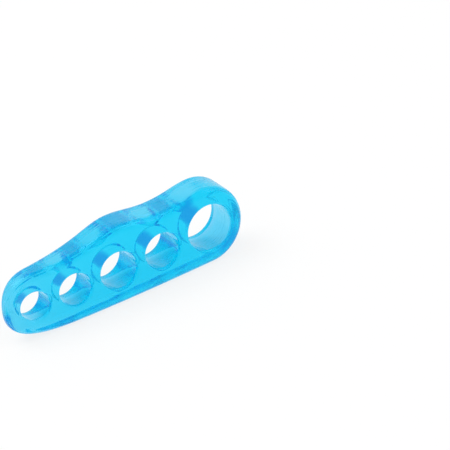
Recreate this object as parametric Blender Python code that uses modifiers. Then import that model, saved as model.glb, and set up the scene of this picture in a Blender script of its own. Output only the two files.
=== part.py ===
"""Gel toe separator: one soft moulded bar with a hole for each toe.

X runs along the bar from the little toe to the big toe, Y through its thickness and
Z up. The bar stands on its flat underside, centred on the origin.
"""

import math

import bmesh
import bpy

MM = 0.001

# Diameter of the hole for each toe.
LITTLE_TOE_HOLE = 10.6 * MM
FOURTH_TOE_HOLE = 11.9 * MM
MIDDLE_TOE_HOLE = 13.8 * MM
SECOND_TOE_HOLE = 13.2 * MM
BIG_TOE_HOLE = 17.0 * MM
HOLE_DIAMETERS = [LITTLE_TOE_HOLE, FOURTH_TOE_HOLE, MIDDLE_TOE_HOLE, SECOND_TOE_HOLE, BIG_TOE_HOLE]

# Gel between each hole and the next.
LITTLE_FOURTH_WEB = 3.8 * MM
FOURTH_MIDDLE_WEB = 3.8 * MM
MIDDLE_SECOND_WEB = 3.7 * MM
SECOND_BIG_WEB = 4.1 * MM
WEBS = [LITTLE_FOURTH_WEB, FOURTH_MIDDLE_WEB, MIDDLE_SECOND_WEB, SECOND_BIG_WEB]

# Gel between each hole and the underside.
WALL_BELOW_LITTLE = 7.2 * MM
WALL_BELOW_FOURTH = 6.8 * MM
WALL_BELOW_MIDDLE = 6.2 * MM
WALL_BELOW_SECOND = 6.8 * MM
WALL_BELOW_BIG = 5.6 * MM
WALLS_BELOW = [WALL_BELOW_LITTLE, WALL_BELOW_FOURTH, WALL_BELOW_MIDDLE, WALL_BELOW_SECOND, WALL_BELOW_BIG]

# Gel outside the first and the last hole, at the two ends of the bar.
LITTLE_END_WALL = 5.1 * MM
BIG_END_WALL = 5.1 * MM

# The wavy top: gel above the hole that each height is counted from.
SHOULDER_WALL = 6.5 * MM
CREST_WALL = 9.1 * MM
DIP_WALL = 7.1 * MM
CROWN_WALL = 6.2 * MM
# How far past the centre of its hole each of them lies, towards the big toe.
SHOULDER_SHIFT = 1.5 * MM
CREST_SHIFT = 2.9 * MM
DIP_SHIFT = 2.9 * MM

# The little end is drawn lower than its hole and swept up from the underside.
LITTLE_END_DROP = 1.0 * MM
SWEEP_LENGTH = 25.0 * MM

# Thickness of the bar at the first and the last hole.
LITTLE_THICKNESS = 8.1 * MM
BIG_THICKNESS = 13.4 * MM
TAPER_POWER = 2.6

# Rounding of the outer edges and of the rims of the holes.
EDGE_RADIUS = 2.6 * MM
RIM_RADIUS = 1.0 * MM
# The most of the thinnest gel that one rounding may take, so that a flat is always left.
ROUNDING_SHARE = 0.48

# Fineness of the mesh.
OUTLINE_STEPS = 11
EDGE_STEPS = 4
HOLE_SIDES = 48
RIM_STEPS = 3
# Corners of the drawing closer than this are one corner.
MERGE_DISTANCE = 0.001 * MM
# Two faces that turn by less than this are one flat face.
FLAT_DEGREES = 0.05
# Edges that turn by more than this are the rims of the holes.
RIM_DEGREES = 60

# Handle length of a Bezier quarter turn, as a share of its radius.
QUARTER_TURN_SHARE = 0.5523
# The same share where the outline is fuller or flatter than a quarter turn.
END_RISE_SHARE = 0.60
END_SHOULDER_SHARE = 0.68
END_SWEEP_SHARE = 0.67
END_UNDERCUT_SHARE = 0.78
SHOULDER_RUN_SHARE = 0.61
CREST_RUN_SHARE = 0.24
CREST_FALL_SHARE = 0.36
DIP_FALL_SHARE = 0.42
DIP_RISE_SHARE = 0.46
CROWN_RISE_SHARE = 0.37

GEL_BLUE = (0.044, 0.610, 0.922, 1.0)


def hole_places():
    """Centre (x, z) and radius of each hole, with x counted from the first one."""
    radii = [diameter / 2 for diameter in HOLE_DIAMETERS]
    places = []
    x = 0.0
    for number, radius in enumerate(radii):
        if number > 0:
            x += radii[number - 1] + WEBS[number - 1] + radius
        places.append((x, WALLS_BELOW[number] + radius, radius))
    return places


def wave_anchors(holes):
    """Shoulder, crest, dip and crown of the top, each as (x, z)."""
    little, _, middle, second, big = holes
    shoulder = (little[0] + SHOULDER_SHIFT, little[1] + little[2] + SHOULDER_WALL)
    crest = (middle[0] + CREST_SHIFT, middle[1] + middle[2] + CREST_WALL)
    dip = (second[0] + DIP_SHIFT, second[1] + second[2] + DIP_WALL)
    crown = (big[0], big[1] + big[2] + CROWN_WALL)
    return shoulder, crest, dip, crown


def outline_points(holes):
    """Anchors of the outline, each with the handle before it and the handle after it."""
    little, big = holes[0], holes[-1]
    shoulder, crest, dip, crown = wave_anchors(holes)
    left = (little[0] - little[2] - LITTLE_END_WALL, little[1] - LITTLE_END_DROP)
    right = (big[0] + big[2] + BIG_END_WALL, big[1])
    base_right = (big[0], 0.0)
    base_left = (left[0] + SWEEP_LENGTH, 0.0)
    base_third = (base_right[0] - base_left[0]) / 3
    first_run = shoulder[0] - left[0]
    rise_run = crest[0] - shoulder[0]
    fall_run = dip[0] - crest[0]
    last_run = crown[0] - dip[0]

    def level(point, before, after):
        """An anchor that the outline passes level, with its two handle lengths."""
        x, z = point
        return point, (x - before, z), (x + after, z)

    def upright(point, below, above, rising):
        """An anchor that the outline passes upright, rising or falling."""
        x, z = point
        low, high = (x, z - below), (x, z + above)
        return (point, low, high) if rising else (point, high, low)

    return [
        upright(left, END_UNDERCUT_SHARE * left[1], END_RISE_SHARE * (shoulder[1] - left[1]), True),
        level(shoulder, END_SHOULDER_SHARE * first_run, SHOULDER_RUN_SHARE * rise_run),
        level(crest, CREST_RUN_SHARE * rise_run, CREST_FALL_SHARE * fall_run),
        level(dip, DIP_FALL_SHARE * fall_run, DIP_RISE_SHARE * last_run),
        level(crown, CROWN_RISE_SHARE * last_run, QUARTER_TURN_SHARE * (right[0] - crown[0])),
        upright(right, QUARTER_TURN_SHARE * right[1], QUARTER_TURN_SHARE * (crown[1] - right[1]), False),
        level(base_right, -QUARTER_TURN_SHARE * (right[0] - base_right[0]), -base_third),
        level(base_left, -base_third, -END_SWEEP_SHARE * SWEEP_LENGTH),
    ]


def thickness_at(x, big_x):
    """Thickness of the bar: full at the last hole, thinner and thinner towards the first."""
    share = max(0.0, (big_x - x) / big_x)
    return BIG_THICKNESS - (BIG_THICKNESS - LITTLE_THICKNESS) * share ** TAPER_POWER


def make_collection(name, parent=None):
    collection = bpy.data.collections.new(name)
    (parent or bpy.context.scene.collection).children.link(collection)
    return collection


def put_in(collection, obj):
    for other in list(obj.users_collection):
        other.objects.unlink(obj)
    collection.objects.link(obj)


def make_slab(points, edge_radius, centre_x, cross_lines, collection):
    """The bar before its holes: the filled outline, extruded, with round outer edges.

    The cross lines split its long faces, so that they can follow the taper later.
    """
    curve = bpy.data.curves.new("outline", "CURVE")
    curve.dimensions = "2D"
    curve.fill_mode = "BOTH"
    curve.resolution_u = OUTLINE_STEPS
    spline = curve.splines.new("BEZIER")
    spline.bezier_points.add(len(points) - 1)
    for anchor, (place, before, after) in zip(spline.bezier_points, points):
        anchor.handle_left_type = anchor.handle_right_type = "FREE"
        anchor.co = (place[0] - centre_x, place[1], 0.0)
        anchor.handle_left = (before[0] - centre_x, before[1], 0.0)
        anchor.handle_right = (after[0] - centre_x, after[1], 0.0)
    spline.use_cyclic_u = True
    curve.extrude = BIG_THICKNESS / 2 - edge_radius
    curve.bevel_depth = edge_radius
    curve.bevel_resolution = EDGE_STEPS
    curve.offset = -edge_radius
    drawing = bpy.data.objects.new("outline", curve)
    drawing.rotation_euler = (math.pi / 2, 0.0, 0.0)
    collection.objects.link(drawing)
    bpy.context.view_layer.update()

    mesh = bpy.data.meshes.new_from_object(drawing.evaluated_get(bpy.context.evaluated_depsgraph_get()))
    mesh.transform(drawing.matrix_world)
    bpy.data.objects.remove(drawing)
    bm = bmesh.new()
    bm.from_mesh(mesh)
    bmesh.ops.remove_doubles(bm, verts=bm.verts, dist=MERGE_DISTANCE)
    bmesh.ops.dissolve_limit(bm, angle_limit=math.radians(FLAT_DEGREES), verts=bm.verts, edges=bm.edges)
    for x in cross_lines:
        bmesh.ops.bisect_plane(
            bm,
            geom=bm.verts[:] + bm.edges[:] + bm.faces[:],
            dist=MERGE_DISTANCE,
            plane_co=(x, 0.0, 0.0),
            plane_no=(1.0, 0.0, 0.0),
        )
    bmesh.ops.recalc_face_normals(bm, faces=bm.faces)
    bm.to_mesh(mesh)
    bm.free()
    slab = bpy.data.objects.new("gel_body", mesh)
    collection.objects.link(slab)
    return slab


def cut_holes(slab, holes, centre_x, collection):
    """Cuts a round hole for each toe and rounds its two rims."""
    for number, (x, z, radius) in enumerate(holes, start=1):
        bpy.ops.mesh.primitive_cylinder_add(
            vertices=HOLE_SIDES,
            radius=radius,
            depth=2 * BIG_THICKNESS,
            location=(x - centre_x, 0.0, z),
            rotation=(math.pi / 2, 0.0, 0.0),
        )
        cutter = bpy.context.object
        cutter.name = f"toe_{number}_cutter"
        cutter.display_type = "WIRE"
        cutter.hide_render = True
        put_in(collection, cutter)
        cut = slab.modifiers.new(f"toe_{number}", "BOOLEAN")
        cut.operation = "DIFFERENCE"
        cut.solver = "EXACT"
        cut.object = cutter
    rims = slab.modifiers.new("rims", "BEVEL")
    rims.limit_method = "ANGLE"
    rims.angle_limit = math.radians(RIM_DEGREES)
    rims.offset_type = "OFFSET"
    rims.width = min(RIM_RADIUS, ROUNDING_SHARE * min(WEBS))
    rims.use_clamp_overlap = False
    rims.segments = RIM_STEPS


def taper(slab, holes, centre_x):
    """Moves both large faces inwards towards the little toe, with their edges and rims."""
    mesh = bpy.data.meshes.new_from_object(slab.evaluated_get(bpy.context.evaluated_depsgraph_get()))
    bm = bmesh.new()
    bm.from_mesh(mesh)
    big_x = holes[-1][0]
    for vert in bm.verts:
        inwards = (BIG_THICKNESS - thickness_at(vert.co.x + centre_x, big_x)) / 2
        vert.co.y -= math.copysign(inwards, vert.co.y)
    bmesh.ops.triangulate(bm, faces=[f for f in bm.faces if len(f.verts) > 4], quad_method="BEAUTY")
    bm.to_mesh(mesh)
    bm.free()
    slab.modifiers.clear()
    slab.data = mesh


def make_gel():
    """Clear blue gel: smooth, glossy and see-through."""
    material = bpy.data.materials.new("clear_blue_gel")
    material.use_nodes = True
    shader = material.node_tree.nodes["Principled BSDF"]
    shader.inputs["Base Color"].default_value = GEL_BLUE
    shader.inputs["Metallic"].default_value = 0.0
    shader.inputs["Roughness"].default_value = 0.1
    shader.inputs["IOR"].default_value = 1.45
    shader.inputs["Transmission Weight"].default_value = 0.8
    return material


def build():
    for obj in list(bpy.data.objects):
        bpy.data.objects.remove(obj)
    parts = make_collection("toe_separator")
    cutters = make_collection("cutters")
    holes = hole_places()
    points = outline_points(holes)
    left = points[0][0][0]
    right = points[5][0][0]
    centre_x = (left + right) / 2
    thinnest = thickness_at(left, holes[-1][0])
    edge_radius = min(EDGE_RADIUS, ROUNDING_SHARE * thinnest)

    web_middles = [(a[0] + a[2] + b[0] - b[2]) / 2 - centre_x for a, b in zip(holes, holes[1:])]
    body = make_slab(points, edge_radius, centre_x, web_middles, parts)
    cut_holes(body, holes, centre_x, cutters)
    bpy.context.view_layer.update()
    taper(body, holes, centre_x)
    body.data.materials.clear()
    body.data.materials.append(make_gel())
    for polygon in body.data.polygons:
        polygon.use_smooth = True


build()
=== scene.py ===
# %% [markdown]
# # A gel toe separator in Blender
# The object is one soft bar of clear blue gel with five holes, one for each toe. It is
# moulded in one piece, so everything here serves two things: a smooth closed skin, and a
# gel that light can pass through. Lengths are written in millimetres and turned to metres.

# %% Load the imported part
import math

import bmesh
import bpy
from mathutils import Euler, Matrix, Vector
from mathutils.bvhtree import BVHTree
from mathutils.geometry import delaunay_2d_cdt, interpolate_bezier


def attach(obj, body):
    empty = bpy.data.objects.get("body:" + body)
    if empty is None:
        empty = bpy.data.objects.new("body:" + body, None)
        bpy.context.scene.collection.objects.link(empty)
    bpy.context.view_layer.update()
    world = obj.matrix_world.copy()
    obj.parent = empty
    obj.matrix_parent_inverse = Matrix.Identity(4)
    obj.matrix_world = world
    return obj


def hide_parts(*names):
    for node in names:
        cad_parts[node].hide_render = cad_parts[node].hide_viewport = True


MM = 0.001
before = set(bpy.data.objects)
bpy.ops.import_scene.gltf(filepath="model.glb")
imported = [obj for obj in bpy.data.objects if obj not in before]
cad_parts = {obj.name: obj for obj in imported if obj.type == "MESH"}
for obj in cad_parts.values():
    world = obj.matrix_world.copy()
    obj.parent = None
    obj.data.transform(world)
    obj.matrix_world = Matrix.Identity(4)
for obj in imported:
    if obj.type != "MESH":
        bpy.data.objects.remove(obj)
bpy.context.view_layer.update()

# %% [markdown]
# ## Small helpers
# Colours are noted as sRGB hex values, as a paint card would give them, and Blender wants
# linear light, so one function converts them. A second one adds a node to a tree: its
# settings are the node's own properties, and its inputs are values, sockets or other
# nodes. With it, a tree reads like a list of steps, from the first node to the last.

# %% Helpers for colours and nodes
MATH, VECTOR_MATH = "ShaderNodeMath", "ShaderNodeVectorMath"


def linear(hex_colour):
    """An sRGB hex colour as linear RGBA."""
    shares = [int(hex_colour[i : i + 2], 16) / 255 for i in (1, 3, 5)]
    light = [c / 12.92 if c <= 0.04045 else ((c + 0.055) / 1.055) ** 2.4 for c in shares]
    return (*light, 1.0)


def add_node(tree, kind, inputs=None, **settings):
    """Adds a node. Its inputs go by name or number, or as a tuple by their order.

    An input is a value, a socket, a node whose first output is meant, or a list of these.
    """
    node = tree.nodes.new(kind)
    for name, value in settings.items():
        setattr(node, name, value)
    if isinstance(inputs, tuple):
        inputs = dict(enumerate(inputs))
    for socket, value in (inputs or {}).items():
        for source in value if isinstance(value, list) else [value]:
            if isinstance(source, bpy.types.Node):
                source = source.outputs[0]
            if isinstance(source, bpy.types.NodeSocket):
                tree.links.new(source, node.inputs[socket])
            else:
                node.inputs[socket].default_value = source
    return node


print("gel blue in linear light:", [round(c, 3) for c in linear("#35CBF5")])

# %% [markdown]
# ## The drawing
# Seen from the front, the bar is a wavy outline with five circles in it. The outline is a
# closed Bezier curve of eight anchors: the little end, a shoulder, a crest, a dip, a
# crown, the big end and the two ends of the flat underside. These are the sizes that the
# part's own source works out, in millimetres, with x along the bar and z up.

# %% Outline and toe holes
OUTLINE = [  # anchor, handle before it, handle after it
    ((-46.05, 11.50), (-46.05, 2.53), (-46.05, 19.18)),
    ((-34.15, 24.30), (-42.24, 24.30), (-13.96, 24.30)),
    ((-1.05, 29.10), (-8.99, 29.10), (5.14, 29.10)),
    ((16.15, 27.10), (8.93, 27.10), (23.65, 27.10)),
    ((32.45, 28.80), (26.42, 28.80), (39.96, 28.80)),
    ((46.05, 14.10), (46.05, 22.22), (46.05, 6.31)),
    ((32.45, 0.00), (39.96, 0.00), (14.62, 0.00)),
    ((-21.05, 0.00), (-3.22, 0.00), (-37.80, 0.00)),
]
TOE_HOLES = [  # centre x, centre z, radius
    (-35.65, 12.50, 5.30),
    (-20.60, 12.75, 5.95),
    (-3.95, 13.10, 6.90),
    (13.25, 13.40, 6.60),
    (32.45, 14.10, 8.50),
]
EDGE_RADIUS = 2.6
RIM_RADIUS = 1.0
POINT_SPACING = 0.45
CURVE_STEPS = 200


def evenly_spaced(points, spacing):
    """A closed line through the points, with new points at an even spacing."""
    ring = points + points[:1]
    lengths = [0.0]
    for a, b in zip(ring, ring[1:]):
        lengths.append(lengths[-1] + (b - a).length)
    count = round(lengths[-1] / spacing)
    spaced, segment = [], 0
    for number in range(count):
        wanted = lengths[-1] * number / count
        while lengths[segment + 1] < wanted:
            segment += 1
        share = (wanted - lengths[segment]) / (lengths[segment + 1] - lengths[segment])
        spaced.append(ring[segment].lerp(ring[segment + 1], share))
    return spaced


def inset(points, distance):
    """A closed clockwise line moved inwards, or a counter-clockwise one moved outwards."""
    moved = []
    for before, point, after in zip(points[-1:] + points[:-1], points, points[1:] + points[:1]):
        along = (after - before).normalized()
        moved.append(point + distance * Vector((along.y, -along.x)))
    return moved


def outline_line():
    """The bar's outline as a closed line, clockwise from the little end."""
    line = []
    for start, end in zip(OUTLINE, OUTLINE[1:] + OUTLINE[:1]):
        corners = [Vector(p) for p in (start[0], start[2], end[1], end[0])]
        line += interpolate_bezier(*corners, CURVE_STEPS)[:-1]
    return evenly_spaced(line, POINT_SPACING)


def circle_line(x, z, radius):
    """A circle as a closed line, counter-clockwise."""
    count = round(math.tau * radius / POINT_SPACING)
    turns = [math.tau * number / count for number in range(count)]
    return [Vector((x + radius * math.cos(t), z + radius * math.sin(t))) for t in turns]


edge_line = inset(outline_line(), EDGE_RADIUS)
rim_lines = [circle_line(x, z, radius + RIM_RADIUS) for x, z, radius in TOE_HOLES]
print("points on the outline:", len(edge_line))
print("points on the rims:", [len(line) for line in rim_lines])

# %% [markdown]
# ## The flat skin
# The front and the back are flat between the rounded edge and the rims, but the bar gets
# thinner towards the little toe, so they bend a little. One big polygon can't bend. A
# Delaunay triangulation over a grid of extra points gives small even triangles that can,
# and a second row of points close behind each border keeps the shading flat up to it.

# %% Triangulate the flat skin
GRID_SPACING = 1.0
GRID_CLEARANCE = 0.6
BORDER_ROW = 0.15
INSIDE_BORDERS = 1  # the kind of result that keeps what the borders enclose
SAME_POINT = 1e-6


def near_line(point, lines, distance):
    """Whether a point is closer than a distance to any point of the lines."""
    return any((point - other).length < distance for line in lines for other in line)


def is_inside(point, line):
    """Whether a point is inside a closed line, by the crossings of a level ray."""
    inside = False
    for a, b in zip(line, line[1:] + line[:1]):
        if (a.y > point.y) != (b.y > point.y):
            inside ^= point.x < a.x + (point.y - a.y) / (b.y - a.y) * (b.x - a.x)
    return inside


def grid_points(edge, rims):
    """Points of an even grid on the skin, clear of its borders."""
    low = [min(p[k] for p in edge) for k in (0, 1)]
    high = [max(p[k] for p in edge) for k in (0, 1)]
    found = []
    for column in range(int((high[0] - low[0]) / GRID_SPACING) + 1):
        for row in range(int((high[1] - low[1]) / GRID_SPACING) + 1):
            point = Vector((low[0] + column * GRID_SPACING, low[1] + row * GRID_SPACING))
            on_skin = is_inside(point, edge) and not any(is_inside(point, rim) for rim in rims)
            if on_skin and not near_line(point, [edge] + rims, GRID_CLEARANCE):
                found.append(point)
    return found


def flat_skin():
    """The flat skin as an object in its own XY plane."""
    borders = [edge_line] + rim_lines
    points, edges = [], []
    for line in borders:
        first = len(points)
        points += line
        edges += [(first + k, first + (k + 1) % len(line)) for k in range(len(line))]
    points += [p for line in borders for p in inset(line, BORDER_ROW)]
    points += grid_points(edge_line, rim_lines)
    places, _, faces, _, _, _ = delaunay_2d_cdt(points, edges, [], INSIDE_BORDERS, SAME_POINT)
    mesh = bpy.data.meshes.new("flat_skin")
    mesh.from_pydata([(p.x * MM, p.y * MM, 0.0) for p in places], [], faces)
    bm = bmesh.new()
    bm.from_mesh(mesh)
    in_holes = []
    for face in bm.faces:
        middle = face.calc_center_median().xy / MM
        if any(is_inside(middle, line) for line in rim_lines):
            in_holes.append(face)
    bmesh.ops.delete(bm, geom=in_holes, context="FACES")
    bm.to_mesh(mesh)
    bm.free()
    skin = bpy.data.objects.new("flat_skin", mesh)
    bpy.context.scene.collection.objects.link(skin)
    return skin


skin = flat_skin()
print("triangles in the flat skin:", len(skin.data.polygons))

# %% [markdown]
# ## The drawing as curves
# The rounding runs along the border of the skin, outside it, so the same border lines
# are kept as curves: the outline first, then the rims. Their direction matters, because
# a swept profile keeps to one side of its curve.

# %% Curves along the borders
def border_curves():
    """The border lines as closed curves: the outline first, then the rims."""
    curve = bpy.data.curves.new("gel_body", "CURVE")
    curve.dimensions = "2D"
    for line in [edge_line] + rim_lines:
        spline = curve.splines.new("POLY")
        spline.points.add(len(line) - 1)
        spline.points.foreach_set("co", [c for p in line for c in (p.x * MM, p.y * MM, 0.0, 1.0)])
        spline.use_cyclic_u = True
    drawing = bpy.data.objects.new("gel_body_drawing", curve)
    bpy.context.scene.collection.objects.link(drawing)
    return drawing


drawing = border_curves()
print("closed border curves:", len(drawing.data.splines))

# %% [markdown]
# ## The moulded body in Geometry Nodes
# The rule of the shape is short. A U-shaped line with its two corners rounded is swept
# along the outline, and a sharper one along the rims. The skin closes the front and,
# turned over, the back. Then every point moves towards the middle by half of what the
# thickness has lost at its place, so the roundings keep their size while the bar tapers.

# %% The tree's inputs
BIG_THICKNESS = 13.4
LITTLE_THICKNESS = 8.1
TAPER_POWER = 2.6
ROUNDING_STEPS = 24
MERGE_DISTANCE = 0.002
LINE_PLACE = 1.9
LINE_DEPTH = 0.14
LINE_WIDTH = 0.4

BODY_INPUTS = {  # name: socket type and value
    "Skin": ("NodeSocketObject", skin),
    "Thickness": ("NodeSocketFloat", BIG_THICKNESS * MM),
    "Thickness at little toe": ("NodeSocketFloat", LITTLE_THICKNESS * MM),
    "Taper power": ("NodeSocketFloat", TAPER_POWER),
    "Taper from": ("NodeSocketFloat", TOE_HOLES[-1][0] * MM),
    "Taper to": ("NodeSocketFloat", TOE_HOLES[0][0] * MM),
    "Edge radius": ("NodeSocketFloat", EDGE_RADIUS * MM),
    "Rim radius": ("NodeSocketFloat", RIM_RADIUS * MM),
    "Rounding steps": ("NodeSocketInt", ROUNDING_STEPS),
    "Merge distance": ("NodeSocketFloat", MERGE_DISTANCE * MM),
    "Mould line place": ("NodeSocketFloat", LINE_PLACE * MM),
    "Mould line depth": ("NodeSocketFloat", LINE_DEPTH * MM),
    "Mould line width": ("NodeSocketFloat", LINE_WIDTH * MM),
    "Gel": ("NodeSocketMaterial", None),
}


def start_tree(name, inputs):
    """An empty geometry tree with named inputs, and its input node's sockets."""
    tree = bpy.data.node_groups.new(name, "GeometryNodeTree")
    tree.interface.new_socket("Geometry", in_out="INPUT", socket_type="NodeSocketGeometry")
    for label, (kind, _) in inputs.items():
        tree.interface.new_socket(label, in_out="INPUT", socket_type=kind)
    tree.interface.new_socket("Geometry", in_out="OUTPUT", socket_type="NodeSocketGeometry")
    return tree, add_node(tree, "NodeGroupInput").outputs


body_tree, size = start_tree("moulded_gel_body", BODY_INPUTS)
print("inputs of the tree:", list(BODY_INPUTS))

# %% The rounded edges
def swept_edge(tree, path, half, radius):
    """The path swept by a U with both corners rounded: one side wall with its edges."""
    back = add_node(tree, MATH, (half, -1.0), operation="MULTIPLY")
    out = add_node(tree, MATH, (radius, -1.0), operation="MULTIPLY")
    corners = ((0.0, back), (out, back), (out, half), (0.0, half))
    points = {
        f"Point {number}": add_node(tree, "ShaderNodeCombineXYZ", {"X": x, "Y": y})
        for number, (x, y) in enumerate(corners, start=1)
    }
    box = add_node(tree, "GeometryNodeCurvePrimitiveQuadrilateral", points, mode="POINTS")
    opened = add_node(tree, "GeometryNodeSetSplineCyclic", {"Geometry": box, "Cyclic": False})
    rounded = add_node(
        tree,
        "GeometryNodeFilletCurve",
        {"Curve": opened, "Count": size["Rounding steps"], "Radius": radius},
        mode="POLY",
    )
    return add_node(tree, "GeometryNodeCurveToMesh", {"Curve": path, "Profile Curve": rounded})


upright = add_node(
    body_tree,
    "GeometryNodeSetCurveNormal",
    {"Curve": size["Geometry"]},
    mode="Z_UP",
)
number = add_node(body_tree, "GeometryNodeInputIndex")
is_outline = add_node(  # its inputs 2 and 3 are the whole numbers to compare
    body_tree,
    "FunctionNodeCompare",
    {2: number, 3: 0},
    data_type="INT",
    operation="EQUAL",
)
lines = add_node(
    body_tree,
    "GeometryNodeSeparateGeometry",
    {"Geometry": upright, "Selection": is_outline},
    domain="CURVE",
).outputs
half_thickness = add_node(body_tree, MATH, (size["Thickness"], 2.0), operation="DIVIDE")
edge_sweep = swept_edge(body_tree, lines["Selection"], half_thickness, size["Edge radius"])
hole_walls = swept_edge(body_tree, lines["Inverted"], half_thickness, size["Rim radius"])
print("nodes so far:", len(body_tree.nodes))

# %% [markdown]
# The outer wall and the holes get different finishes later. One material can tell them
# apart if the outer wall's points carry a mark, which is an attribute with a name. It is 1
# on the flat of the wall and fades to 0 over the rounding, so that no border shows.

# %% The outer wall's mark
OUTER_WALL = "outer_wall"

place = add_node(body_tree, "GeometryNodeInputPosition")
along = add_node(body_tree, "ShaderNodeSeparateXYZ", {"Vector": place}).outputs
height = add_node(body_tree, MATH, (along["Z"],), operation="ABSOLUTE")
below_skin = add_node(body_tree, MATH, (half_thickness, height), operation="SUBTRACT")
inside_edge = add_node(body_tree, MATH, (below_skin, size["Edge radius"]), operation="DIVIDE")
wall_mark = add_node(body_tree, MATH, (inside_edge, 1.0), operation="MINIMUM")
outer_wall = add_node(
    body_tree,
    "GeometryNodeStoreNamedAttribute",
    {"Geometry": edge_sweep, "Name": OUTER_WALL, "Value": wall_mark},
    data_type="FLOAT",
    domain="POINT",
)
print("nodes so far:", len(body_tree.nodes))

# %% The two faces, closed up
sheet = add_node(body_tree, "GeometryNodeObjectInfo", {"Object": size["Skin"]}).outputs["Geometry"]
up = add_node(body_tree, "ShaderNodeCombineXYZ", {"Z": half_thickness})
down = add_node(body_tree, VECTOR_MATH, {"Vector": up, "Scale": -1.0}, operation="SCALE")
front, turned_over = [
    add_node(body_tree, "GeometryNodeTransform", {"Geometry": sheet, "Translation": way})
    for way in (up, down)
]
back = add_node(body_tree, "GeometryNodeFlipFaces", {"Mesh": turned_over})
all_sides = [outer_wall, hole_walls, front, back]
joined = add_node(body_tree, "GeometryNodeJoinGeometry", {"Geometry": all_sides})
closed = add_node(
    body_tree,
    "GeometryNodeMergeByDistance",
    {"Geometry": joined, "Distance": size["Merge distance"]},
)
print("nodes so far:", len(body_tree.nodes))

# %% The taper
taper_ends = (size["Taper from"], size["Taper to"])
thicknesses = (size["Thickness"], size["Thickness at little toe"])
run = add_node(body_tree, MATH, (size["Taper from"], along["X"]), operation="SUBTRACT")
whole_run = add_node(body_tree, MATH, taper_ends, operation="SUBTRACT")
part_of_run = add_node(body_tree, MATH, (run, whole_run), operation="DIVIDE")
share = add_node(body_tree, MATH, (part_of_run, 0.0), operation="MAXIMUM")
bent_share = add_node(body_tree, MATH, (share, size["Taper power"]), operation="POWER")
lost = add_node(body_tree, MATH, thicknesses, operation="SUBTRACT")
lost_here = add_node(body_tree, MATH, (lost, bent_share), operation="MULTIPLY")
half_lost = add_node(body_tree, MATH, (lost_here, 0.5), operation="MULTIPLY")
print("nodes so far:", len(body_tree.nodes))

# %% [markdown]
# ## The line along the edge
# Halfway round the rounded edge, the real bar shows a fine line that follows the outline.
# A mould is cut there with a round-nosed tool, pass beside pass, which may leave a low
# ridge between two passes, and soft gel takes that as a shallow groove. It is under a
# fifth of a millimetre deep, so it is a matter of looks alone.
#
# A point's distance from the skin's border is measured flat, in the plane of the drawing.
# Points of the rounding at the right distance sink a little, and a smooth ramp fades the
# depth out to both sides. The skin itself lies at full height, which is how the tree tells
# its points from those of the rounding.

# %% The mould's line
line_mesh = add_node(body_tree, "GeometryNodeCurveToMesh", {"Curve": lines["Selection"]})
flat_place = add_node(body_tree, "ShaderNodeCombineXYZ", {"X": along["X"], "Y": along["Y"]})
to_border = add_node(
    body_tree,
    "GeometryNodeProximity",
    {"Geometry": line_mesh, "Sample Position": flat_place},
    target_element="EDGES",
).outputs["Distance"]
past_line = add_node(body_tree, MATH, (to_border, size["Mould line place"]), operation="SUBTRACT")
off_line = add_node(body_tree, MATH, (past_line,), operation="ABSOLUTE")
ramp = add_node(
    body_tree,
    "ShaderNodeMapRange",
    {
        "Value": off_line,
        "From Min": 0.0,
        "From Max": size["Mould line width"],
        "To Min": size["Mould line depth"],
        "To Max": 0.0,
    },
    interpolation_type="SMOOTHSTEP",
)
is_rounding = add_node(
    body_tree,
    MATH,
    (below_skin, size["Merge distance"]),
    operation="GREATER_THAN",
)
groove = add_node(body_tree, MATH, (ramp, is_rounding), operation="MULTIPLY")
print("nodes so far:", len(body_tree.nodes))

# %% Move the points, and dress the body
sunk = add_node(body_tree, MATH, (half_lost, groove), operation="ADD")
side = add_node(body_tree, MATH, (along["Z"],), operation="SIGN")
other_way = add_node(body_tree, MATH, (sunk, -1.0), operation="MULTIPLY")
inwards = add_node(body_tree, MATH, (other_way, side), operation="MULTIPLY")
move = add_node(body_tree, "ShaderNodeCombineXYZ", {"Z": inwards})
moved = add_node(body_tree, "GeometryNodeSetPosition", {"Geometry": closed, "Offset": move})
smooth = add_node(body_tree, "GeometryNodeSetShadeSmooth", {"Geometry": moved})
real = add_node(body_tree, "GeometryNodeRealizeInstances", {"Geometry": smooth})
dressed = add_node(
    body_tree,
    "GeometryNodeSetMaterial",
    {"Geometry": real, "Material": size["Gel"]},
)
add_node(body_tree, "NodeGroupOutput", {"Geometry": dressed})
print("nodes in the tree:", len(body_tree.nodes))

# %% [markdown]
# ## The gel
# The real bar is a soft thermoplastic gel, such as a mineral-oil TPE of the SEBS kind, cast
# clear with a little blue dye. Such a gel has an index of refraction near 1.46. The dye is
# in the bulk: light loses its red first and some green later, so thin places are pale cyan
# and long ways through the gel are deep blue. A Volume Absorption inside a clear surface
# does just that, where a blue surface colour would look the same at every thickness.
#
# The skin is glossy but not sharp. The gel is tacky and the mould only half polished, so
# what shows through is soft, as behind a breath of haze. Three things on the surface do
# this: a roughness near 0.1, a weak blue tint of what passes the skin, and a bluish tint
# of what it mirrors straight on, while flat glances at the edges stay white.

# %% The gel's sizes and colours
GEL_IOR = 1.46
SKIN_TINT = "#C8D7F9"
MIRROR_TINT = "#78CEFF"
DYE_COLOUR = "#00FDFF"
DYE_DENSITY = 255.0
SKIN_ROUGHNESS = (0.08, 0.12)
WALL_ROUGHNESS = 0.06
POLISH_PATCH = 4.0
SWELL_WAVE = 9.0
SWELL_HEIGHT = 0.4
TOOL_MARK_LENGTH = 14.0
TOOL_MARK_WIDTH = 0.7
TOOL_MARK_HEIGHT = 0.22
TOOL_MARKS_IN_HOLES = 0.22
print("dye in linear light:", [round(c, 3) for c in linear(DYE_COLOUR)], "density", DYE_DENSITY)

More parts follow.
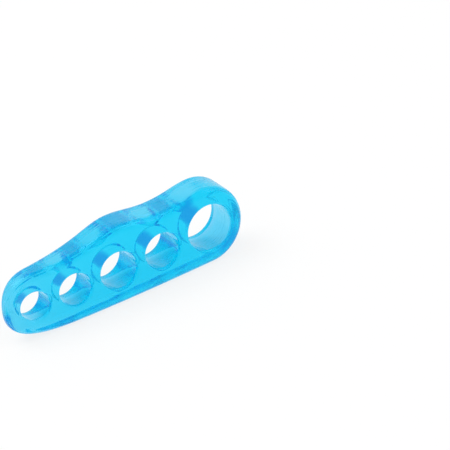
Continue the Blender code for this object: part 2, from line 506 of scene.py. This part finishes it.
# %% [markdown]
# The skin isn't level either. A gel shrinks as it cools, which leaves wide, shallow swells,
# and the walls keep the fine marks of the tool that cut the mould: streaks that run along
# the edge, much longer than they are wide. Both are bumps, one on top of the other. The
# streaks are a noise that is stretched by dividing each direction by its own length. Real
# ones are often too fine to show in a small picture, so they are drawn 0.7 mm wide.
#
# The holes are smoother than the outer wall, because round pins shape them, and a pin is
# turned and polished. The material reads the outer wall's mark. It gives the holes only a
# part of the streaks, and the outer wall a little more haze, which softens what shows
# through it.

# %% Bumps of the skin
def skin_bumps(tree, place, wall):
    """Wide swells with fine tool marks on top, as a normal."""
    swell = add_node(
        tree,
        "ShaderNodeTexNoise",
        {"Vector": place, "Scale": 1 / (SWELL_WAVE * MM), "Detail": 1.0, "Roughness": 0.4},
    ).outputs["Fac"]
    swells = add_node(
        tree,
        "ShaderNodeBump",
        {"Height": swell, "Strength": 1.0, "Distance": SWELL_HEIGHT * MM},
    )
    lengthways, crossways = 1 / (TOOL_MARK_LENGTH * MM), 1 / (TOOL_MARK_WIDTH * MM)
    stretched = add_node(
        tree,
        "ShaderNodeMapping",
        {"Vector": place, "Scale": (lengthways, crossways, lengthways)},
    )
    streak = add_node(
        tree,
        "ShaderNodeTexNoise",
        {"Vector": stretched, "Scale": 1.0, "Detail": 2.0, "Roughness": 0.5},
    ).outputs["Fac"]
    how_strong = add_node(
        tree,
        "ShaderNodeMapRange",
        {"Value": wall, "To Min": TOOL_MARKS_IN_HOLES, "To Max": 1.0},
    )
    return add_node(
        tree,
        "ShaderNodeBump",
        {
            "Height": streak,
            "Strength": how_strong,
            "Distance": TOOL_MARK_HEIGHT * MM,
            "Normal": swells,
        },
    )


print("swells in mm:", SWELL_WAVE, "streaks in mm:", TOOL_MARK_LENGTH, "by", TOOL_MARK_WIDTH)

# %% The gel's material
def gel_material():
    """Clear blue TPE gel: dye in the bulk, a soft glossy skin, gently uneven."""
    material = bpy.data.materials.new("clear_blue_tpe_gel")
    material.use_nodes = True
    tree = material.node_tree
    tree.nodes.clear()
    place = add_node(tree, "ShaderNodeTexCoord").outputs["Object"]
    wall = add_node(tree, "ShaderNodeAttribute", attribute_name=OUTER_WALL).outputs["Fac"]
    patches = add_node(
        tree,
        "ShaderNodeTexNoise",
        {"Vector": place, "Scale": 1 / (POLISH_PATCH * MM), "Detail": 4.0, "Roughness": 0.6},
    ).outputs["Fac"]
    polish = add_node(
        tree,
        "ShaderNodeMapRange",
        {"Value": patches, "To Min": SKIN_ROUGHNESS[0], "To Max": SKIN_ROUGHNESS[1]},
    )
    haze = add_node(tree, MATH, (wall, WALL_ROUGHNESS, polish), operation="MULTIPLY_ADD")
    surface = add_node(
        tree,
        "ShaderNodeBsdfPrincipled",
        {
            "Base Color": linear(SKIN_TINT),
            "Roughness": haze,
            "IOR": GEL_IOR,
            "Transmission Weight": 1.0,
            "Specular Tint": linear(MIRROR_TINT),
            "Normal": skin_bumps(tree, place, wall),
        },
    )
    dye = add_node(
        tree,
        "ShaderNodeVolumeAbsorption",
        {"Color": linear(DYE_COLOUR), "Density": DYE_DENSITY},
    )
    add_node(tree, "ShaderNodeOutputMaterial", {"Surface": surface, "Volume": dye})
    return material


gel = gel_material()
print("material:", gel.name, "with", len(gel.node_tree.nodes), "nodes")

# %% [markdown]
# ## From the tree to a plain mesh
# The modifier gets its inputs by the sockets' identifiers, before anything is evaluated.
# The evaluated result becomes the object's own mesh, the modifier and the drawings go,
# and the body is turned from its drawing plane to stand upright.

# %% Make the body plain
def set_inputs(modifier, inputs):
    """Sets a modifier's named inputs by the identifiers of their sockets."""
    sockets = {
        item.name: item.identifier
        for item in modifier.node_group.interface.items_tree
        if item.item_type == "SOCKET" and item.in_out == "INPUT"
    }
    for label, (_, value) in inputs.items():
        modifier[sockets[label]] = value


def plain_mesh(drawn, name):
    """The evaluated object as a plain mesh object of its own, upright."""
    graph = bpy.context.evaluated_depsgraph_get()
    mesh = bpy.data.meshes.new_from_object(drawn.evaluated_get(graph))
    mesh.name = name
    bm = bmesh.new()
    bm.from_mesh(mesh)
    bmesh.ops.dissolve_degenerate(bm, edges=bm.edges, dist=MERGE_DISTANCE * MM / 2)
    bmesh.ops.recalc_face_normals(bm, faces=bm.faces)
    bmesh.ops.rotate(bm, verts=bm.verts, matrix=Euler((math.pi / 2, 0, 0)).to_matrix())
    open_edges = sum(not edge.is_manifold for edge in bm.edges)
    print(name, "has", len(bm.faces), "faces,", open_edges, "open edges and", end=" ")
    print(round(bm.calc_volume(signed=True) / MM**3 / 1000, 2), "cubic centimetres")
    used = mesh.materials[bm.faces[0].material_index]
    for face in bm.faces:
        face.material_index = 0
    bm.to_mesh(mesh)
    bm.free()
    mesh.materials.clear()
    mesh.materials.append(used)
    obj = bpy.data.objects.new(name, mesh)
    bpy.context.scene.collection.objects.link(obj)
    return obj


BODY_INPUTS["Gel"] = ("NodeSocketMaterial", gel)
shaping = drawing.modifiers.new("moulded_gel_body", "NODES")
shaping.node_group = body_tree
set_inputs(shaping, BODY_INPUTS)
gel_body = plain_mesh(drawing, "moulded_gel_body")
for drawn in (drawing, skin):
    bpy.data.objects.remove(drawn)

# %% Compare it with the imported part
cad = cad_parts["gel_body"]
surface = BVHTree.FromObject(cad, bpy.context.evaluated_depsgraph_get())
away = [surface.find_nearest(vertex.co)[3] for vertex in gel_body.data.vertices]
print("farthest from the packed part in mm:", round(max(away) / MM, 3))
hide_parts("gel_body")
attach(gel_body, "root")

# %% [markdown]
# ## The floor
# The object is photographed like glassware: on white, with a white room around it. The
# floor is a plain pale sheet. Rays from the camera, and those that leave the gel, mostly
# find pure white there, and the rest of it is a white paint that keeps the shadow.
#
# Clear blue gel throws blue light on the paper that it stands on, and shows it again in
# the lower walls of its holes. Tracing those rays would take thousands of samples, so a
# soft patch of pale blue stands in for them, for rays that have left the gel alone. It is
# placed by the floor's own coordinates and fades out at the bar's edge.

# %% What rays find on the floor
WHITE = 1.0
GEL_LIGHT_MIDDLE = (5.0, 0.0)
GEL_LIGHT_HALF = (32.0, 5.2)
GEL_LIGHT_FADE = 3.0


def seen_white(tree):
    """1 for camera rays and for rays that left a mirror or the gel, else 0."""
    path = add_node(tree, "ShaderNodeLightPath").outputs
    first_two = (path["Is Camera Ray"], path["Is Glossy Ray"])
    either = add_node(tree, MATH, first_two, operation="MAXIMUM")
    return add_node(tree, MATH, (either, path["Is Transmission Ray"]), operation="MAXIMUM")


def under_the_bar(tree):
    """1 on the floor where the bar stands, fading to 0 close to its edge."""
    place = add_node(tree, "ShaderNodeTexCoord").outputs["Object"]
    flat = add_node(tree, "ShaderNodeSeparateXYZ", {"Vector": place}).outputs
    beyond = {}
    for axis, middle, half in zip("XY", GEL_LIGHT_MIDDLE, GEL_LIGHT_HALF):
        centred = add_node(tree, MATH, (flat[axis], middle * MM), operation="SUBTRACT")
        off = add_node(tree, MATH, (centred,), operation="ABSOLUTE")
        past_half = add_node(tree, MATH, (off, half * MM), operation="SUBTRACT")
        beyond[axis] = add_node(tree, MATH, (past_half, 0.0), operation="MAXIMUM")
    outside = add_node(tree, "ShaderNodeCombineXYZ", beyond)
    far = add_node(tree, VECTOR_MATH, (outside,), operation="LENGTH").outputs["Value"]
    return add_node(
        tree,
        "ShaderNodeMapRange",
        {
            "Value": far,
            "From Min": 0.0,
            "From Max": GEL_LIGHT_FADE * MM,
            "To Min": 1.0,
            "To Max": 0.0,
        },
        interpolation_type="SMOOTHSTEP",
    )


print("blue light under the bar in mm:", [2 * half for half in GEL_LIGHT_HALF])

# %% The floor's material
PAPER = "#F4F4F4"
PURE_WHITE = "#FFFFFF"
GEL_LIGHT = "#A8F8FF"
FLOOR_SHADOW = 0.35
FLOOR_SHADOW_IN_VIEW = 0.2


def floor_material():
    """White paper with a soft shadow, and pale blue for rays that come from the gel."""
    material = bpy.data.materials.new("white_paper_floor")
    material.use_nodes = True
    tree = material.node_tree
    tree.nodes.clear()
    path = add_node(tree, "ShaderNodeLightPath").outputs
    from_gel = (under_the_bar(tree), path["Is Transmission Ray"])
    blue = add_node(tree, MATH, from_gel, operation="MULTIPLY")
    tone = add_node(  # its inputs 6 and 7 are the colours, and its output 2 is their mix
        tree,
        "ShaderNodeMix",
        {0: blue, 6: linear(PURE_WHITE), 7: linear(GEL_LIGHT)},
        data_type="RGBA",
    ).outputs[2]
    paper = add_node(tree, "ShaderNodeBsdfDiffuse", {"Color": linear(PAPER)})
    glow = add_node(tree, "ShaderNodeEmission", {"Color": tone, "Strength": WHITE})
    share = add_node(
        tree,
        "ShaderNodeMapRange",
        {
            "Value": path["Is Camera Ray"],
            "To Min": 1 - FLOOR_SHADOW,
            "To Max": 1 - FLOOR_SHADOW_IN_VIEW,
        },
    )
    amount = add_node(tree, MATH, (seen_white(tree), share), operation="MULTIPLY")
    mixed = add_node(tree, "ShaderNodeMixShader", (amount, paper, glow))
    add_node(tree, "ShaderNodeOutputMaterial", {"Surface": mixed})
    return material


paper_floor = floor_material()
print("material:", paper_floor.name, "with", len(paper_floor.node_tree.nodes), "nodes")

# %% The sheet of paper
FLOOR_WIDTH = 6.0
FLOOR_DROP = 0.1


def make_floor(width, drop):
    """A flat square, a hair below the bar so that the two don't touch."""
    mesh = bpy.data.meshes.new("floor")
    half = width / 2
    square = ((-half, -half), (half, -half), (half, half), (-half, half))
    mesh.from_pydata([(x, y, -drop) for x, y in square], [], [(0, 1, 2, 3)])
    mesh.materials.append(paper_floor)
    sheet_of_paper = bpy.data.objects.new("floor", mesh)
    bpy.context.scene.collection.objects.link(sheet_of_paper)
    return sheet_of_paper


floor = make_floor(FLOOR_WIDTH, FLOOR_DROP * MM)
print("floor:", floor.name, FLOOR_WIDTH, "m wide")

# %% [markdown]
# ## The room and the lamps
# The room is white too, but clear gel in an evenly white room has nothing dark to show
# and looks flat. So one side of the room, up behind the little toe, is dimmer and faintly
# blue. The gel bends it into the darker patches beside each hole. The camera never sees
# that side itself.
#
# Two big softboxes add the soft shadow on the floor. The gel would show a lamp as a
# bright spot on top of the white room, so lamps are hidden from rays that have passed
# through it.

# %% The white room
ROOM_LIGHT = 0.7
DIM_SIDE = "#A2C2EC"
TOWARDS_DIM_SIDE = Vector((-0.50, 0.71, 0.50)).normalized()
DIM_SIDE_BORDER = (0.75, 0.97)


def room_colour(tree):
    """White for the camera, and white with one dim side for rays that left the gel."""
    way = add_node(tree, "ShaderNodeTexCoord").outputs["Generated"]
    match = add_node(tree, VECTOR_MATH, (way, TOWARDS_DIM_SIDE), operation="DOT_PRODUCT")
    away_from_it = add_node(
        tree,
        "ShaderNodeMapRange",
        {
            "Value": match.outputs["Value"],
            "From Min": DIM_SIDE_BORDER[0],
            "From Max": DIM_SIDE_BORDER[1],
            "To Min": 1.0,
            "To Max": 0.0,
        },
        interpolation_type="SMOOTHSTEP",
    )
    for_camera = add_node(tree, "ShaderNodeLightPath").outputs["Is Camera Ray"]
    whiteness = add_node(tree, MATH, (away_from_it, for_camera), operation="MAXIMUM")
    return add_node(
        tree,
        "ShaderNodeMix",
        {0: whiteness, 6: linear(DIM_SIDE), 7: linear(PURE_WHITE)},
        data_type="RGBA",
    ).outputs[2]


def white_room():
    """The world: even light on the paper, and the room that camera and gel see."""
    world = bpy.data.worlds.new("white_room")
    bpy.context.scene.world = world
    world.use_nodes = True
    tree = world.node_tree
    tree.nodes.clear()
    light, seen = [
        add_node(tree, "ShaderNodeBackground", {"Color": colour, "Strength": strength})
        for colour, strength in ((linear(PURE_WHITE), ROOM_LIGHT), (room_colour(tree), WHITE))
    ]
    mixed = add_node(tree, "ShaderNodeMixShader", (seen_white(tree), light, seen))
    add_node(tree, "ShaderNodeOutputWorld", {"Surface": mixed})
    return world


room = white_room()
print("world:", room.name, "with", len(room.node_tree.nodes), "nodes")

# %% Softboxes
LAMP_AIM = Vector((0.0, 0.0, 0.015))
SOFTBOXES = {  # name: place and side in metres, and watts
    "key_softbox": ((-0.7, 0.5, 1.6), 1.2, 14.0),
    "fill_softbox": ((1.1, -0.9, 1.2), 1.0, 6.0),
}


def softbox(name, place, side, watts):
    """A square area lamp at a place, turned towards the bar and hidden from the gel."""
    light = bpy.data.lights.new(name, "AREA")
    light.size, light.energy = side, watts
    lamp = bpy.data.objects.new(name, light)
    lamp.location = place
    lamp.rotation_euler = (LAMP_AIM - Vector(place)).to_track_quat("-Z", "Y").to_euler()
    lamp.visible_transmission = False
    bpy.context.scene.collection.objects.link(lamp)


for name, (place, side, watts) in SOFTBOXES.items():
    softbox(name, place, side, watts)

# %% [markdown]
# ## The camera
# The bar is seen from the front, a little from its little end, and from above. The lens is
# long, so the far end looks nearly as large as the near one. The place, the turn and the
# lens were found together, by fitting the bar's outline and the edges of its five holes to
# the picture. The colours are shown plainly, without a film look.

# %% Camera
CAMERA_PLACE = (-0.3818, -0.7786, 0.5403)
CAMERA_TURN = (58.715, 7.61, -33.154)
LENS = 240.0
SENSOR_WIDTH = 36.0
NEAREST_SEEN = 0.01


def photo_camera():
    """The fitted camera, made the scene's own."""
    data = bpy.data.cameras.new("photo_camera")
    data.lens = LENS
    data.sensor_width = SENSOR_WIDTH
    data.clip_start = NEAREST_SEEN
    camera = bpy.data.objects.new("photo_camera", data)
    camera.location = CAMERA_PLACE
    camera.rotation_euler = [math.radians(angle) for angle in CAMERA_TURN]
    bpy.context.scene.collection.objects.link(camera)
    bpy.context.scene.camera = camera
    return camera


camera = photo_camera()
bpy.context.scene.view_settings.view_transform = "Standard"
print("camera distance in mm:", round(camera.location.length / MM))

# %% [markdown]
# Light that is caught inside clear gel is mirrored from wall to wall many times before it
# leaves. Cycles stops after a few mirrorings unless told otherwise, and what it stops
# turns black, so the limits are raised.

# %% Enough bounces for clear gel
LIGHT_BOUNCES = 64
cycles = bpy.context.scene.cycles
cycles.max_bounces = cycles.glossy_bounces = cycles.transmission_bounces = LIGHT_BOUNCES
print("bounces:", cycles.max_bounces)
